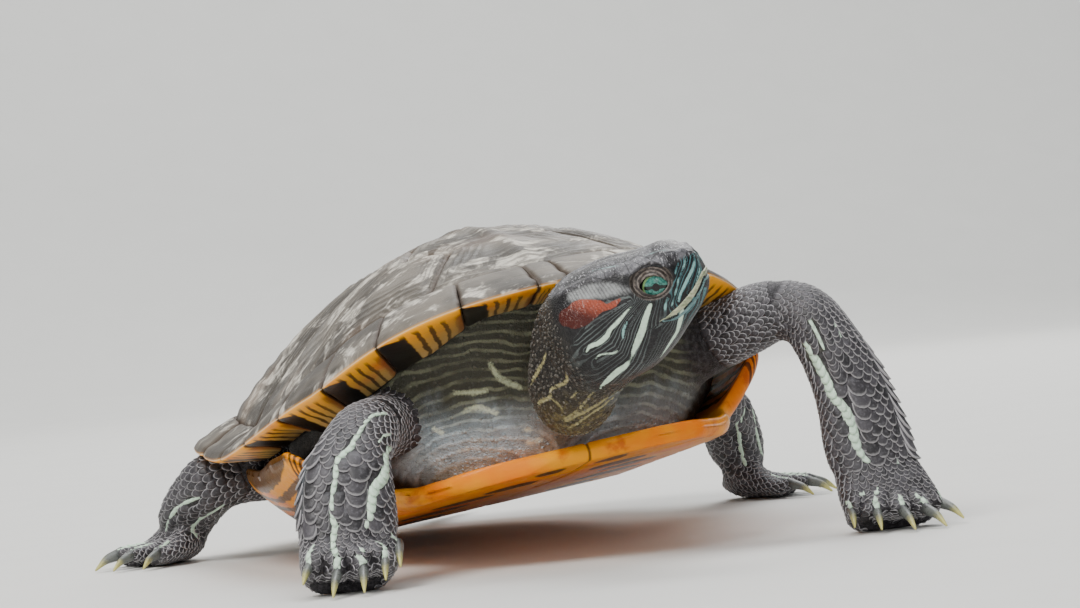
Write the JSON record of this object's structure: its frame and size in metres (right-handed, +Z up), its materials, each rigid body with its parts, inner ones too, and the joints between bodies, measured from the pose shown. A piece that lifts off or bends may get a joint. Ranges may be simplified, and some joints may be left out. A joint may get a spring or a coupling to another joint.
{
  "type": "red-eared slider turtle",
  "caption": "Life-size still model of a freshwater turtle, standing with its head raised and turned to its left, as a display figure.",
  "frame": {"origin": "on the floor, under the middle of the whole animal", "axes": "+Z up, the turtle faces -Y, its own left side is +X"},
  "size_m": [0.2139, 0.2596, 0.0831],
  "materials": {
    "carapace_plates": "weathered grey-brown horn, pale worn patches, growth rings",
    "marginal_plates": "grey-brown horn above, orange-yellow with black blotches below",
    "plastron_plates": "glossy orange-yellow horn with dark blotches",
    "skin": "charcoal scaly skin with pale mint stripes and a brick-red patch behind each eye",
    "eyes": "wet, blue-green iris with a dark bar and a black pupil",
    "beak_horn": "cream-olive horn edge of the jaws, satin",
    "claw_horn": "grey horn turning yellowish at the tip"
  },
  "bodies": {
    "root": {"nuchal": "marginal_plates", "vertebral_1": "carapace_plates", "vertebral_2": "carapace_plates", "vertebral_3": "carapace_plates", "vertebral_4": "carapace_plates", "vertebral_5": "carapace_plates", "costal_left_1": "carapace_plates", "costal_left_2": "carapace_plates", "costal_left_3": "carapace_plates", "costal_left_4": "carapace_plates", "costal_right_1": "carapace_plates", "costal_right_2": "carapace_plates", "costal_right_3": "carapace_plates", "costal_right_4": "carapace_plates", "marginal_left_1": "marginal_plates", "marginal_left_2": "marginal_plates", "marginal_left_3": "marginal_plates", "marginal_left_4": "marginal_plates", "marginal_left_5": "marginal_plates", "marginal_left_6": "marginal_plates", "marginal_left_7": "marginal_plates", "marginal_left_8": "marginal_plates", "marginal_left_9": "marginal_plates", "marginal_left_10": "marginal_plates", "marginal_left_11": "marginal_plates", "marginal_left_12": "marginal_plates", "marginal_right_1": "marginal_plates", "marginal_right_2": "marginal_plates", "marginal_right_3": "marginal_plates", "marginal_right_4": "marginal_plates", "marginal_right_5": "marginal_plates", "marginal_right_6": "marginal_plates", "marginal_right_7": "marginal_plates", "marginal_right_8": "marginal_plates", "marginal_right_9": "marginal_plates", "marginal_right_10": "marginal_plates", "marginal_right_11": "marginal_plates", "marginal_right_12": "marginal_plates", "plastron": "plastron_plates", "head": "skin", "lower_jaw": "skin", "neck": "skin", "trunk": "skin", "tail": "skin", "eye_left": "eyes", "eye_right": "eyes", "right_fore_upper": "skin", "right_fore_lower": "skin", "right_fore_foot": "skin", "left_fore_upper": "skin", "left_fore_lower": "skin", "left_fore_foot": "skin", "right_hind_upper": "skin", "right_hind_lower": "skin", "right_hind_foot": "skin", "left_hind_upper": "skin", "left_hind_lower": "skin", "left_hind_foot": "skin"}
  },
  "joints": []
}
